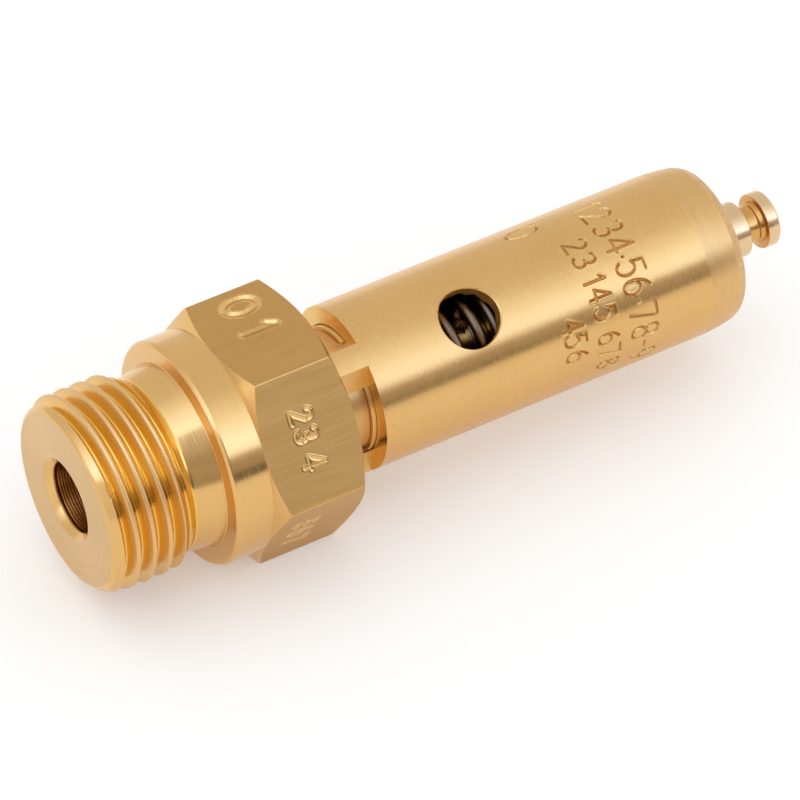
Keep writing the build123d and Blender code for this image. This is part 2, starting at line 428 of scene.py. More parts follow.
def makeMetal(name, marks, s):
    # Metal with one set of tool marks, and a slower wave under them where it has a swell
    material, tree, shader, tone = newSurface(name, s)
    shader["Metallic"].default_value = 1.0
    shader["Anisotropic"].default_value = s.get("anisotropic", 0.0)
    shader["Anisotropic Rotation"].default_value = s.get("rotation", 0.25)
    if "anisotropic" in s:
        tangent = tree.nodes.new("ShaderNodeTangent")
        tangent.direction_type = "RADIAL"
        tangent.axis = "X"
        tree.links.new(tangent.outputs[0], shader["Tangent"])
    group, rates = marks
    lines = groupNode(tree, group, rates)
    base = tone["Color"]
    rough = rangeNode(tree, lines["Tone"], low=s["rough"][0], high=s["rough"][1])
    # A root paints shade into a groove: a deeper colour mixed in towards its bottom
    if "root" in s:
        low, high, colour = s["root"]
        root = groupNode(tree, rootTone, {
            "Low": low * mm, "High": high * mm, "Root": (*colour, 1), "Crest": base,
        })
        base = root["Color"]
        rough = mathNode(tree, "MULTIPLY_ADD", root["Mask"], s["crestRough"], rough)
    streaks = rangeNode(tree, lines["Tone"], low=s.get("streakTone", 0.08), high=0.0)
    tree.links.new(mixNode(tree, streaks, base, streakColour, "MULTIPLY"), shader["Base Color"])
    tree.links.new(rough, shader["Roughness"])
    swell = None
    if "swell" in s:
        *slowRates, height = s["swell"]
        slow = groupNode(tree, group, dict(zip(rates, (*slowRates, 1.0))))
        swell = bumpNode(tree, slow["Height"], height)
    tree.links.new(bumpNode(tree, lines["Height"], s["depth"], swell), shader["Normal"])
    return material


def makePlain(name, s):
    # Rubber and plastic: a dull skin with a fine uneven grain
    material, tree, shader, tone = newSurface(name, s)
    tree.links.new(tone["Color"], shader["Base Color"])
    tree.links.new(rangeNode(tree, tone["Mask"], low=s["rough"][0], high=s["rough"][1]), shader["Roughness"])
    tree.links.new(bumpNode(tree, tone["Mask"], s["depth"]), shader["Normal"])
    return material


# Depths and radii are millimetres. A swell is the slow wave's two rates and its depth. A root is
# a groove's painted shade, a deeper colour: the radius up to which it is full, the one from which it is gone,
# the colour.
streakColour = (0.35, 0.3, 0.25, 1)
brassClean = (0.78, 0.474, 0.177)
brassAged = (0.71, 0.413, 0.142)
barrelBrass = makeMetal("brushed barrel brass", turnedMarks(8500.0, 9.0), {
    "clean": brassClean, "aged": brassAged, "rough": (0.24, 0.34), "depth": 0.0006,
    "anisotropic": 0.7, "streakTone": 0.12, "swell": (500.0, 1.2, 0.006),
})
turnedBrass = makeMetal("turned brass", turnedMarks(5000.0, 1.5), {
    "clean": brassClean, "aged": brassAged, "rough": (0.15, 0.24), "depth": 0.0008, "anisotropic": 0.5,
})
# The thread's grooves get painted shade, a deeper amber towards their bottoms
threadBrass = makeMetal("thread brass", turnedMarks(6000.0, 4.0), {
    "clean": (0.82, 0.52, 0.22), "aged": (0.76, 0.46, 0.18), "rough": (0.12, 0.2), "depth": 0.001,
    "streakTone": 0.15, "root": (9.4, 10.35, (0.87, 0.53, 0.13)), "crestRough": 0.22,
})
facedBrass = makeMetal("faced brass", turnedMarks(3500.0, 0.8, 5.0), {
    "clean": (0.765, 0.51, 0.23), "aged": (0.705, 0.455, 0.195), "rough": (0.28, 0.4), "depth": 0.003,
    "anisotropic": 0.6, "streakTone": 0.25, "toneAmount": 0.5,
})
flatBrass = makeMetal("drawn hexagon brass", drawnMarks(8000.0, 150.0, 5.0), {
    "clean": (0.65, 0.37, 0.12), "aged": (0.56, 0.305, 0.092), "rough": (0.36, 0.48), "depth": 0.0024,
    "anisotropic": 0.4, "rotation": 0.0, "streakTone": 0.28, "swell": (420.0, 15.0, 0.05),
})
innerBrass = makeMetal("inner turned brass", turnedMarks(4500.0, 2.0), {
    "clean": (0.80, 0.47, 0.14), "aged": (0.70, 0.38, 0.10), "rough": (0.26, 0.38), "depth": 0.0015,
    "anisotropic": 0.4, "streakTone": 0.2,
})
discBrass = makeMetal("lift disc brass", turnedMarks(5500.0, 3.0), {
    "clean": (0.74, 0.44, 0.17), "aged": (0.66, 0.37, 0.13), "rough": (0.32, 0.44), "depth": 0.0015,
    "anisotropic": 0.3,
})
plateBrass = makeMetal("spring plate brass", turnedMarks(4500.0, 2.0), {
    "clean": (0.86, 0.55, 0.22), "aged": (0.79, 0.47, 0.17), "rough": (0.3, 0.4), "depth": 0.0015,
    "anisotropic": 0.4,
})
# The windows' milled faces are brighter than the barrel: a milled finish with painted light
milledLitBrass = makeMetal("milled window brass with painted light", drawnMarks(900.0, 6000.0, 4.0), {
    "clean": (0.92, 0.61, 0.19), "aged": (0.84, 0.50, 0.125), "rough": (0.12, 0.22), "depth": 0.0016,
    "streakTone": 0.2, "toneScale": 500.0, "toneAmount": 0.5,
})
# The hole's wall is brighter and more orange than the inner brass: a drilled finish with painted light
drilledLitBrass = makeMetal("drilled hole brass with painted light", drawnMarks(900.0, 6000.0), {
    "clean": (0.9, 0.49, 0.12), "aged": (0.78, 0.4, 0.085), "rough": (0.42, 0.56), "depth": 0.002,
})
taperBrass = makeMetal("turned taper brass", turnedMarks(5000.0, 5.0), {
    "clean": (0.775, 0.48, 0.195), "aged": (0.69, 0.405, 0.155), "rough": (0.32, 0.44), "depth": 0.0012,
    "anisotropic": 0.5, "streakTone": 0.16,
})
chatterBrass = makeMetal("chattered edge brass", turnedMarks(4000.0, 35.0, 4.0), {
    "clean": (0.80, 0.52, 0.24), "aged": (0.62, 0.36, 0.16), "rough": (0.26, 0.42), "depth": 0.004,
    "streakTone": 0.4, "toneScale": 900.0, "toneAmount": 0.6,
})
struckBrass = makeMetal("struck digit brass", drawnMarks(7000.0, 7000.0, 2.0), {
    "clean": (0.62, 0.33, 0.095), "aged": (0.50, 0.25, 0.07), "rough": (0.26, 0.38), "depth": 0.002,
})
# The bore's dark brown is painted shade inside the bore
boreShadeBrass = makeMetal("bore brass", turnedMarks(7000.0, 1.5), {
    "clean": (0.44, 0.195, 0.048), "aged": (0.33, 0.135, 0.028), "rough": (0.24, 0.34), "depth": 0.002,
    "anisotropic": 0.3, "streakTone": 0.2,
})
# The knob's brass is paler than the body's: partly its own colour, partly painted light for brighter
# reflections of the floor
knobBrass = makeMetal("knob brass", turnedMarks(7000.0, 2.5), {
    "clean": (0.82, 0.58, 0.325), "aged": (0.76, 0.51, 0.26), "rough": (0.19, 0.29), "depth": 0.001,
    "anisotropic": 0.5, "streakTone": 0.15,
})
# The knob's groove is painted shade: a darker, deeper amber under the head
grooveShadeBrass = makeMetal("knob groove brass", turnedMarks(7000.0, 2.5), {
    "clean": (0.73, 0.40, 0.125), "aged": (0.61, 0.31, 0.085), "rough": (0.18, 0.28), "depth": 0.001,
    "anisotropic": 0.4, "streakTone": 0.2,
})
springSteel = makeMetal("spring wire", drawnMarks(2500.0, 2500.0), {
    "clean": (0.19, 0.13, 0.08), "aged": (0.12, 0.08, 0.045), "rough": (0.24, 0.36), "depth": 0.001,
})
stainless = makeMetal("stainless steel", turnedMarks(6000.0, 2.0), {
    "clean": (0.6, 0.6, 0.6), "aged": (0.5, 0.5, 0.49), "rough": (0.2, 0.3), "depth": 0.0008,
    "anisotropic": 0.4,
})
sealRubber = makePlain("seal rubber", {
    "clean": (0.035, 0.035, 0.036), "aged": (0.06, 0.058, 0.055), "rough": (0.55, 0.7), "depth": 0.01,
    "toneScale": 900.0, "toneAmount": 0.6,
})
bushPlastic = makePlain("guide bush plastic", {
    "clean": (0.82, 0.81, 0.77), "aged": (0.74, 0.72, 0.66), "rough": (0.4, 0.5), "depth": 0.005,
    "toneScale": 900.0, "toneAmount": 0.6,
})
print("finishes ready")


def axisTurn(angle):
    return Matrix.Rotation(math.radians(angle), 3, "X")


def radiusOf(co):
    return math.hypot(co.y, co.z)


def angleOf(co):
    return math.degrees(math.atan2(-co.y, co.z))


def outward(angle):
    return Vector((0, -math.sin(math.radians(angle)), math.cos(math.radians(angle))))


def cutAt(bm, x, parts=None, side=1, keepAll=False):
    # Cuts square to the axis at x; what lies past it on that side goes unless all is kept
    if parts is None:
        parts = bm.verts[:] + bm.edges[:] + bm.faces[:]
    bmesh.ops.bisect_plane(
        bm, geom=parts, dist=cutReach, plane_co=(x * mm, 0, 0), plane_no=(side, 0, 0),
        clear_outer=not keepAll,
    )


def drawProfile(bm, profile):
    # A line through (x, radius) points; a third number softens that corner, except at an end
    verts = [bm.verts.new((point[0] * mm, 0, point[1] * mm)) for point in profile]
    edges = [bm.edges.new(pair) for pair in zip(verts, verts[1:])]
    for vert, point in zip(verts[1:-1], profile[1:-1]):
        if len(point) > 2:
            bmesh.ops.bevel(
                bm, geom=[vert], offset=point[2] * mm, offset_type="OFFSET", segments=3,
                profile=0.5, affect="VERTICES", material=-1,
            )
    return verts[0], verts[-1]


def spinRound(bm, steps, lead=0.0, sectors=12):
    # One sector is spun, then repeated round the axis; a lead turns it into a screw
    bmesh.ops.spin(
        bm, geom=bm.verts[:] + bm.edges[:], cent=origin, axis=axis, dvec=(lead * mm / steps, 0, 0),
        angle=fullTurn / sectors, steps=steps // sectors, use_merge=False,
    )
    sector = bm.verts[:] + bm.edges[:] + bm.faces[:]
    for number in range(1, sectors):
        copy = bmesh.ops.duplicate(bm, geom=sector)["geom"]
        verts = [item for item in copy if isinstance(item, bmesh.types.BMVert)]
        bmesh.ops.rotate(bm, cent=origin, matrix=axisTurn(360 * number / sectors), verts=verts)
        bmesh.ops.translate(bm, vec=(lead * mm * number / sectors, 0, 0), verts=verts)
    bmesh.ops.remove_doubles(bm, verts=bm.verts, dist=4e-7)


def finishPiece(name, bm, materials, body, node, sharp=28, pick=None):
    # pick gives the material of each face; without it the first one covers the piece
    bmesh.ops.remove_doubles(bm, verts=bm.verts, dist=2e-7)
    bmesh.ops.recalc_face_normals(bm, faces=bm.faces)
    for face in bm.faces:
        face.smooth = True
        if pick:
            face.material_index = materials.index(pick(face))
    mesh = bpy.data.meshes.new(name)
    bm.to_mesh(mesh)
    bm.free()
    for material in materials:
        mesh.materials.append(material)
    mesh.set_sharp_from_angle(angle=math.radians(sharp))
    piece = bpy.data.objects.new(name, mesh)
    scene.collection.objects.link(piece)
    weighted = piece.modifiers.new("even shading", "WEIGHTED_NORMAL")
    weighted.keep_sharp = True
    weighted.weight = 90
    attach(piece, body)
    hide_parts(node)
    print(name, len(mesh.polygons), "faces")
    return piece


turnedSteps = 192


def turnedPiece(name, profile, materials, body, node, pick=None, closed=False, openX=None):
    # closed joins the profile's ends; openX is where an open end is filled with a flat disc
    bm = bmesh.new()
    ends = drawProfile(bm, profile)
    if closed:
        bm.edges.new(ends)
    spinRound(bm, turnedSteps)
    bmesh.ops.delete(bm, geom=[edge for edge in bm.edges if edge.is_wire], context="EDGES")
    if openX is not None:
        bmesh.ops.edgeloop_fill(bm, edges=boundaryLoop(bm, openX))
    return finishPiece(name, bm, materials, body, node, pick=pick)


def boundaryLoop(bm, x, reach=0.02):
    return [
        edge for edge in bm.edges
        if edge.is_boundary and all(abs(vert.co.x - x * mm) < reach * mm for vert in edge.verts)
    ]


def arc(x, y, across, up, start, end, count=10):
    points = []
    for step in range(count + 1):
        angle = math.radians(start + (end - start) * step / count)
        points.append((x + across * math.cos(angle), y + up * math.sin(angle)))
    return points


# Strokes of plain digits in a box one wide and one high
digitStrokes = {
    "0": [arc(0.5, 0.5, 0.48, 0.5, 90, 450, 20)],
    "1": [[(0.2, 0.76), (0.55, 1.0), (0.55, 0.0)]],
    "2": [arc(0.48, 0.72, 0.44, 0.28, 165, -32) + [(0.02, 0.0), (0.98, 0.0)]],
    "3": [arc(0.44, 0.75, 0.42, 0.25, 150, -90), arc(0.44, 0.26, 0.5, 0.26, 90, -150, 12)],
    "4": [[(0.74, 0.0), (0.74, 1.0), (0.0, 0.3), (1.0, 0.3)]],
    "5": [[(0.92, 1.0), (0.2, 1.0), (0.12, 0.58)] + arc(0.45, 0.33, 0.5, 0.33, 128, -150, 12)],
    "6": [arc(0.5, 0.31, 0.48, 0.31, 0, 360, 16), arc(0.92, 0.31, 0.9, 0.69, 180, 105, 6)],
    "7": [[(0.02, 1.0), (0.98, 1.0), (0.4, 0.0)]],
    "8": [arc(0.5, 0.76, 0.38, 0.24, 0, 360, 14), arc(0.5, 0.26, 0.47, 0.26, 0, 360, 16)],
    "9": [arc(0.5, 0.69, 0.48, 0.31, 0, 360, 16), arc(0.08, 0.69, 0.9, 0.69, 0, -75, 6)],
    "-": [[(0.1, 0.5), (0.9, 0.5)]],
    ".": [[(0.5, 0.38), (0.5, 0.42)]],
}


def placeDigits(marks):
    # Each mark is (digit, middle across, foot, height, width); gives boxes with their strokes
    placed = []
    for digit, middle, foot, height, width in marks:
        strokes = []
        for line in digitStrokes[digit]:
            points = [(middle + (x - 0.5) * width, foot + y * height) for x, y in line]
            strokes += list(zip(points, points[1:]))
        placed.append(((middle - width / 2, middle + width / 2, foot, foot + height), strokes))
    return placed


def strokeDistance(placed, across, up, reach):
    best = reach
    for (left, right, foot, top), strokes in placed:
        if left - reach < across < right + reach and foot - reach < up < top + reach:
            for (startX, startY), (endX, endY) in strokes:
                runX, runY = endX - startX, endY - startY
                length = runX * runX + runY * runY
                share = min(max(((across - startX) * runX + (up - startY) * runY) / length, 0), 1)
                best = min(best, math.hypot(across - startX - share * runX, up - startY - share * runY))
    return best


def stampLift(distance, s):
    # Height of struck metal at a distance from the stroke's middle: a groove with a raised rim
    half = s["strokeWidth"] / 2
    if distance < half:
        return -s["strokeDepth"] * (1 - (distance / half) ** s["sharpness"])
    rim = (distance - half) / s["rimWidth"]
    return s["rimHeight"] * 4 * rim * (1 - rim) if rim < 1 else 0.0


inletSettings = {
    "steps": 288,
    "threadR": 10.4775,
    "pitch": 1.814,
    "rootR": 9.245,
    "crestWidth": 0.302,
    "crestXAtTop": 0.35,
    "threadSoft": 0.145,
    "rootSoft": 0.108,
    "flankAngle": 27.5,
    "flankCuts": 6,
    "turns": 8,
    "boreR": 3.75,
    "boreRings": 23,
    "boreRingStart": 1.0,
    "boreRingPitch": 0.3,
    "boreRingDepth": 0.046,
    "seatR": 3.0,
    "chamferEndX": 1.66,
    "outline": [  # (x, radius) that the thread's crests are cut to
        (0.0, 9.15), (0.015, 9.24), (0.05, 9.34), (0.12, 9.46), (0.25, 9.62),
        (1.35, 10.36), (1.5, 10.44), (1.66, 10.4775),
        (7.8, 10.4775), (7.92, 10.42), (8.5, 9.92), (9.2, 9.42), (9.6, 9.27), (9.7, 9.24),
    ],
    "hexFlat": 12.0,
    "hexStartX": 16.95,
    "hexEndX": 27.4,
    "cornerR": 13.9,
    "cornerSoft": 0.16,
    "collarStartX": 12.85,
    "collarR": 11.99,
    "stampMargin": 0.7,
    "stamps": [  # angle of the flat, then its digits: (digit, middle across, foot, height, width)
        {
            "flat": 0, "cell": 0.08, "strokeWidth": 0.78, "strokeDepth": 0.24, "sharpness": 1.15,
            "rimHeight": 0.025, "rimWidth": 0.2,
            "digits": [("0", -4.25, 21.0, 3.5, 2.3), ("1", -0.35, 20.9, 3.7, 1.5)],
        },
        {
            "flat": 60, "cell": 0.055, "strokeWidth": 0.38, "strokeDepth": 0.075, "sharpness": 1.3,
            "rimHeight": 0.017, "rimWidth": 0.19,
            "digits": [
                ("2", -2.35, 20.7, 2.35, 1.2), ("3", -0.3, 20.7, 2.35, 1.2), ("4", 2.5, 20.7, 2.35, 1.3),
            ],
        },
        {
            "flat": 120, "cell": 0.065, "strokeWidth": 0.38, "strokeDepth": 0.075, "sharpness": 1.3,
            "rimHeight": 0.017, "rimWidth": 0.19,
            "digits": [("5", -2.2, 19.6, 2.5, 1.3), ("6", 0.1, 19.6, 2.5, 1.3), ("7", 2.4, 19.6, 2.5, 1.3)],
        },
    ],
}


def outlineRadius(outline, x):
    for (startX, startR), (endX, endR) in zip(outline, outline[1:]):
        if x <= endX:
            share = min(max((x - startX) / (endX - startX), 0), 1)
            return startR + (endR - startR) * share
    return outline[-1][1]


def threadSurface(s):
    # The helical surface between two ring edges, with its crests cut to the outline
    bm = bmesh.new()
    half, height = s["crestWidth"] / 2, s["threadR"] - s["rootR"]
    flank = height * math.tan(math.radians(s["flankAngle"]))
    profile = []
    for number in range(s["turns"]):
        x = s["crestXAtTop"] + (number - 1) * s["pitch"]
        profile += [
            (x - half, s["threadR"], s["threadSoft"]),
            (x + half, s["threadR"], s["threadSoft"]),
            (x + half + flank, s["rootR"], s["rootSoft"]),
            (x + s["pitch"] - half - flank, s["rootR"], s["rootSoft"]),
        ]
    profile.append((profile[0][0] + s["turns"] * s["pitch"], s["threadR"]))
    drawProfile(bm, profile)
    flanks = [edge for edge in bm.edges if edge.calc_length() > 0.65 * height * mm]
    bmesh.ops.subdivide_edges(bm, edges=flanks, cuts=s["flankCuts"])
    spinRound(bm, s["steps"], s["pitch"])
    # The outline's first four points and its last are rings drawn out from the cut ends
    places = [x for x, radius in s["outline"]]
    edgeRings, (first, *breaks, last, endRing) = places[:4], places[4:]
    cutAt(bm, first, side=-1)
    cutAt(bm, last)
    for x in breaks:
        near = [face for face in bm.faces if abs(face.calc_center_median().x - x * mm) < 0.4 * mm]
        parts = dict.fromkeys(item for face in near for item in (*face.verts, *face.edges))
        cutAt(bm, x, near + list(parts), keepAll=True)
    for x in reversed(edgeRings):
        pullRing(bm, boundaryLoop(bm, min(vert.co.x for vert in bm.verts) / mm), x)
    pullRing(bm, boundaryLoop(bm, last), endRing)
    for x in (edgeRings[0], endRing):
        thinRing(bm, boundaryLoop(bm, x), s["steps"])
    for vert in bm.verts:
        radius = radiusOf(vert.co)
        most = outlineRadius(s["outline"], vert.co.x / mm) * mm
        if radius > most:
            vert.co.y *= most / radius
            vert.co.z *= most / radius
    return bm


def pullRing(bm, loop, x):
    made = bmesh.ops.extrude_edge_only(bm, edges=loop)
    for item in made["geom"]:
        if isinstance(item, bmesh.types.BMVert):
            item.co.x = x * mm


def thinRing(bm, loop, steps):
    # Leaves one vertex on the ring for each step round it, exactly on that step
    kept, extra = {}, []
    for vert in dict.fromkeys(vert for edge in loop for vert in edge.verts):
        place = angleOf(vert.co) * steps / 360
        number, off = round(place) % steps, abs(place - round(place))
        if number not in kept:
            kept[number] = (off, vert)
        elif off < kept[number][0]:
            extra.append(kept[number][1])
            kept[number] = (off, vert)
        else:
            extra.append(vert)
    bmesh.ops.dissolve_verts(bm, verts=extra)
    for number, (off, vert) in kept.items():
        vert.co = axis * vert.co.x + outward(360 * number / steps) * radiusOf(vert.co)


def flatten(bm, s):
    # Six flats cut from the turned blank, and their corners broken
    for side in range(6):
        out = outward(60 * side)
        made = bmesh.ops.bisect_plane(
            bm, geom=bm.verts[:] + bm.edges[:] + bm.faces[:], dist=cutReach,
            plane_co=out * s["hexFlat"] * mm, plane_no=out, clear_outer=True,
        )
        rim = [item for item in made["geom_cut"] if isinstance(item, bmesh.types.BMEdge)]
        bmesh.ops.edgeloop_fill(bm, edges=rim)
    corners = [
        edge for edge in bm.edges
        if min(radiusOf(vert.co) for vert in edge.verts) > (s["cornerR"] - 0.1) * mm
        and edge.calc_length() > 0.5 * (s["hexEndX"] - s["hexStartX"]) * mm
    ]
    bmesh.ops.bevel(
        bm, geom=corners, offset=s["cornerSoft"] * mm, offset_type="OFFSET", segments=3,
        profile=0.5, affect="EDGES", material=-1,
    )


def cutRectangle(bm, face, limits):
    # Parts a rectangle from the rest of a flat: limits are (direction, lowest, highest)
    part = face
    for direction, low, high in limits:
        for limit, sign in ((low, -1), (high, 1)):
            made = bmesh.ops.bisect_plane(
                bm, geom=[part, *part.edges, *part.verts], dist=cutReach,
                plane_co=direction * limit * mm, plane_no=direction,
            )
            halves = [item for item in made["geom"] if isinstance(item, bmesh.types.BMFace)]
            part = min(halves, key=lambda half: half.calc_center_median().dot(direction) * sign)


def stampFlat(bm, s, stamp):
    out, across = outward(stamp["flat"]), outward(stamp["flat"] + 90)
    placed = placeDigits(stamp["digits"])
    margin = s["stampMargin"]
    left = min(box[0] for box, strokes in placed) - margin
    right = max(box[1] for box, strokes in placed) + margin
    low = min(box[2] for box, strokes in placed) - margin
    high = max(box[3] for box, strokes in placed) + margin

    def onStamp(co):
        onFlat = co.dot(out) > (s["hexFlat"] - 0.001) * mm
        return onFlat and low < co.x / mm < high and left < co.dot(across) / mm < right

    flats = [face for face in bm.faces if face.normal.dot(out) > 0.999]
    flat = max(flats, key=lambda face: face.calc_area())
    cutRectangle(bm, flat, ((axis, low, high), (across, left, right)))
    for direction, size in ((axis, high - low), (across, right - left)):
        faces = [
            face for face in bm.faces
            if face.normal.dot(out) > 0.999 and onStamp(face.calc_center_median())
        ]
        edges = dict.fromkeys(
            edge for face in faces for edge in face.edges
            if abs((edge.verts[1].co - edge.verts[0].co).normalized().dot(direction)) > 0.99
        )
        bmesh.ops.subdivide_edges(
            bm, edges=list(edges), cuts=round(size / stamp["cell"]), use_grid_fill=True,
        )
    for vert in bm.verts:
        if onStamp(vert.co):
            distance = strokeDistance(placed, vert.co.dot(across) / mm, vert.co.x / mm, margin)
            vert.co += out * stampLift(distance, stamp) * mm


def inletBody(s):
    bm = bmesh.new()
    rings = []
    for number in range(s["boreRings"]):
        x = s["boreRingStart"] + number * s["boreRingPitch"]
        rings += [(x, s["boreR"]), (x + s["boreRingPitch"] * 0.4, s["boreR"] + s["boreRingDepth"])]
    drawProfile(bm, [
        s["outline"][0], (0.0, 4.55, 0.14), (0.75, s["boreR"], 0.1), *rings,
        (18.5, s["boreR"]), (19.25, s["seatR"]), (27.8, s["seatR"]),
        (27.88, 3.1), (27.88, 3.55), (27.0, 4.6), (21.5, 4.6), (21.5, 8.5), (s["hexEndX"], 8.5),
        (s["hexEndX"], 12.03), (26.33, s["cornerR"]), (18.05, s["cornerR"]), (s["hexStartX"], s["collarR"]),
        (13.2, s["collarR"], 0.1), (s["collarStartX"], 11.69, 0.1), (s["collarStartX"], 9.92, 0.08),
        (10.0, 9.28, 0.1), (9.9, 9.24), s["outline"][-1],
    ])
    spinRound(bm, s["steps"])
    flatten(bm, s)
    thread = threadSurface(s)
    mesh = bpy.data.meshes.new("threadTemp")
    thread.to_mesh(mesh)
    thread.free()
    bm.from_mesh(mesh)
    bpy.data.meshes.remove(mesh)
    bmesh.ops.remove_doubles(bm, verts=[vert for vert in bm.verts if vert.is_boundary], dist=2e-6)
    bmesh.ops.holes_fill(bm, edges=[edge for edge in bm.edges if edge.is_boundary], sides=0)
    bmesh.ops.recalc_face_normals(bm, faces=bm.faces)
    for stamp in s["stamps"]:
        stampFlat(bm, s, stamp)
    print("inlet body stamped")
    return bm


def inletFinish(face):
    s = inletSettings
    middle = face.calc_center_median() / mm
    radius = radiusOf(middle)
    # The bore is painted dark brown, as shade
    if radius < s["boreR"] + 0.15:
        return boreShadeBrass
    if 0.02 < middle.x < s["outline"][-1][0] + 0.15 and radius > s["rootR"] - 0.045:
        onChamfer = middle.x < s["chamferEndX"] and radius > outlineRadius(s["outline"], middle.x) - 0.02
        return turnedBrass if onChamfer else threadBrass
    if abs(face.normal.x) < 0.02 and middle.x > s["hexStartX"] - 0.05 and radius < s["cornerR"] - 0.1:
        for side in range(6):
            out = outward(60 * side)
            if abs(middle.dot(out) - s["hexFlat"]) < 0.35 and face.normal.dot(out) > 0.4:
                return flatBrass
    onFace = middle.x < 0.3 and radius > 4.4
    return facedBrass if onFace else turnedBrass


finishPiece(
    "inlet_body_turned", inletBody(inletSettings),
    [turnedBrass, flatBrass, facedBrass, threadBrass, boreShadeBrass],
    "valve", "inlet_body", sharp=34, pick=inletFinish,
)


housingSettings = {
    "steps": 360,
    "radius": 8.84,
    "edgeSoft": 0.05,
    "shankR": 8.46,
    "startX": 21.7,
    "boreR": 6.96,
    "windowStartX": 27.4,
    "windowWidth": 4.5,
    "windowFlat": 5.5,
    "windowAngles": (88.5, -31.5, -151.5),
    "holeX": 44.2,
    "holeR": 3.25,
    "holeAngle": 32.2,
    "holeSegments": 128,
    "rimSoft": 0.15,
    "threadStartX": 44.6,
    "threadEndX": 69.6,
    "threadPitch": 1.25,
    "threadDepth": 0.5,
    "taperX": 70.9,
    "chatterX": 74.42,
    "farEnd": [  # the tapers, the rolled lip and the end cap's seat
        (70.85, 8.84), (70.92, 8.831), (71.0, 8.837), (71.75, 8.795), (71.8, 8.786), (71.85, 8.788),
        (73.1, 8.68), (74.4, 8.50), (74.43, 8.475), (75.08, 8.22, 0.1), (75.4, 7.92, 0.06), (75.4, 6.6, 0.1),
        (74.6, 6.6), (74.6, 7.3), (72.4, 7.3), (72.4, 6.96),
    ],
    "stampBand": (52.5, 64.8),
    "stampArc": (-26, 152),
    "stampReach": 0.5,
    "stampNear": 0.42,  # closer to a stroke than this, the cells are halved
    "cell": 0.12,
    "strokeWidth": 0.3,
    "strokeDepth": 0.19,
    "sharpness": 2.0,
    "rimHeight": 0.016,
    "rimWidth": 0.14,
    "dotWidth": 0.6,  # share of a digit's width
    "rows": [  # (digits, middles along the arc in mm, foot, height, width)
        (
            "1234.56.78-9", (-2.5, -0.7, 1.6, 3.7, 5.1, 6.4, 8.45, 9.98, 11.45, 13.6, 15.4, 17.3),
            61.0, 3.15, 1.5,
        ),
        ("23145678", (2.06, 4.0, 6.3, 7.8, 9.8, 12.7, 14.45, 16.3), 57.05, 2.5, 1.25),
        ("456", (9.86, 11.5, 13.4), 53.2, 2.5, 1.2),
        ("0", (-2.8,), 53.0, 3.6, 1.9),
    ],
}


def cutAway(bm, cutters):
    # Cuts closed shapes from a mesh and gives back the result
    mesh = bpy.data.meshes.new("cutTemp")
    bm.to_mesh(mesh)
    bm.free()
    blank = bpy.data.objects.new("cutTemp", mesh)
    scene.collection.objects.link(blank)
    tools = []
    for index, cutter in enumerate(cutters):
        toolMesh = bpy.data.meshes.new(f"tool{index}")
        cutter.to_mesh(toolMesh)
        cutter.free()
        tool = bpy.data.objects.new(f"tool{index}", toolMesh)
        scene.collection.objects.link(tool)
        tools.append(tool)
        cut = blank.modifiers.new(f"cut{index}", "BOOLEAN")
        cut.operation = "DIFFERENCE"
        cut.solver = "EXACT"
        cut.object = tool
    bpy.context.view_layer.update()
    done = blank.evaluated_get(bpy.context.evaluated_depsgraph_get())
    result = bmesh.new()
    result.from_mesh(done.to_mesh())
    for item in [blank, *tools]:
        data = item.data
        bpy.data.objects.remove(item)
        bpy.data.meshes.remove(data)
    return result


def windowCutter(s, angle):
    # A block as long as the window, wider than the barrel, with its underside at the window's floor
    bm = bmesh.new()
    bmesh.ops.create_cube(bm, size=1)
    bmesh.ops.scale(bm, vec=(s["windowWidth"] * mm, 20 * mm, 10 * mm), verts=bm.verts)
    middle = ((s["windowStartX"] + s["windowWidth"] / 2) * mm, 0, (s["windowFlat"] + 5) * mm)
    bmesh.ops.translate(bm, vec=middle, verts=bm.verts)
    bmesh.ops.rotate(bm, cent=origin, matrix=axisTurn(angle), verts=bm.verts)
    return bm


def holeCutter(s):
    # A drill that flares where it leaves the barrel, so the hole's edge is broken evenly
    bm = bmesh.new()
    radius, soft = s["holeR"], s["rimSoft"]
    bmesh.ops.create_cone(
        bm, cap_ends=True, segments=s["holeSegments"], radius1=radius * mm, radius2=radius * mm, depth=8 * mm,
    )
    for height in (-1, 1):
        bmesh.ops.bisect_plane(
            bm, geom=bm.verts[:] + bm.edges[:] + bm.faces[:], dist=cutReach,
            plane_co=(0, 0, height * mm), plane_no=(0, 0, 1),
        )
    flare = 1 + 1.5 * soft / radius  # 45 degrees between the two middle rings, which follow the barrel
    for vert in bm.verts:
        height = vert.co.z / mm
        surface = math.sqrt(s["radius"] ** 2 - (vert.co.y / mm) ** 2)
        if abs(height) > 2:
            vert.co.z = (s["radius"] + height) * mm
        else:
            vert.co.z = (surface + (0.5 if height > 0 else -1) * soft) * mm
        if height > 0:
            vert.co.x *= flare
            vert.co.y *= flare
    bmesh.ops.translate(bm, vec=(s["holeX"] * mm, 0, 0), verts=bm.verts)
    bmesh.ops.rotate(bm, cent=origin, matrix=axisTurn(s["holeAngle"]), verts=bm.verts)
    return bm


